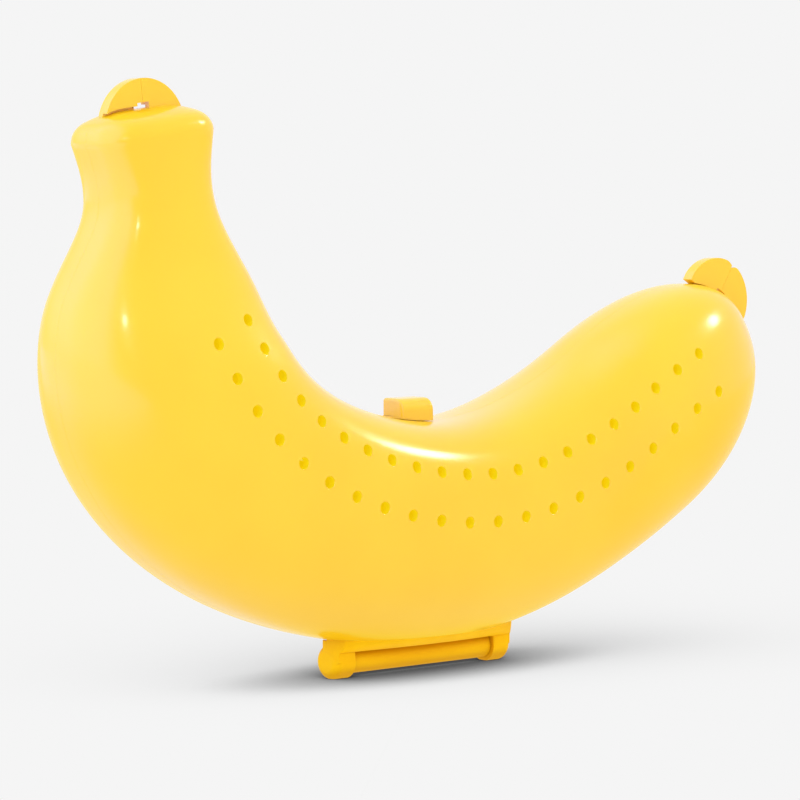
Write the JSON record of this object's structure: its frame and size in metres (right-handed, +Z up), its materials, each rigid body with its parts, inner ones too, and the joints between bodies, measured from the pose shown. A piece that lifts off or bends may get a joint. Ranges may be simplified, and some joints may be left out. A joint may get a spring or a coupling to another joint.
{
  "type": "banana carrying case",
  "caption": "Curved hard-plastic case shaped like a banana, with vented clamshell halves hinged under the belly, a snap latch on the inner curve and finger tabs at both ends",
  "frame": {"origin": "Under the middle of the case's length, where the seam plane between the shells meets the plane of the feet", "axes": "+X from the stem to the tip, +Y from the front shell to the rear shell, +Z up with the case standing on its hinge"},
  "size_m": [0.219, 0.0482, 0.1423],
  "materials": {
    "shell_plastic": "high-gloss injection-moulded polypropylene, yellow through and through",
    "pin_steel": "drawn wire, bright"
  },
  "bodies": {
    "front": {"front_shell": "shell_plastic", "hinge_pin": "pin_steel"},
    "rear": {"rear_shell": "shell_plastic"},
    "latch": {"latch_tongue": "shell_plastic"}
  },
  "joints": [
    {"name": "case_hinge", "type": "hinge", "parent": "front", "child": "rear", "pos_m": [-0.0036, 0, 0.004], "axis": [-1, 0, 0], "range_deg": [0, 180]},
    {"name": "latch_flex", "type": "hinge", "parent": "rear", "child": "latch", "pos_m": [-0.0056, 0.0039, 0.0618], "axis": [-1, 0, 0], "range_deg": [0, 16]}
  ]
}
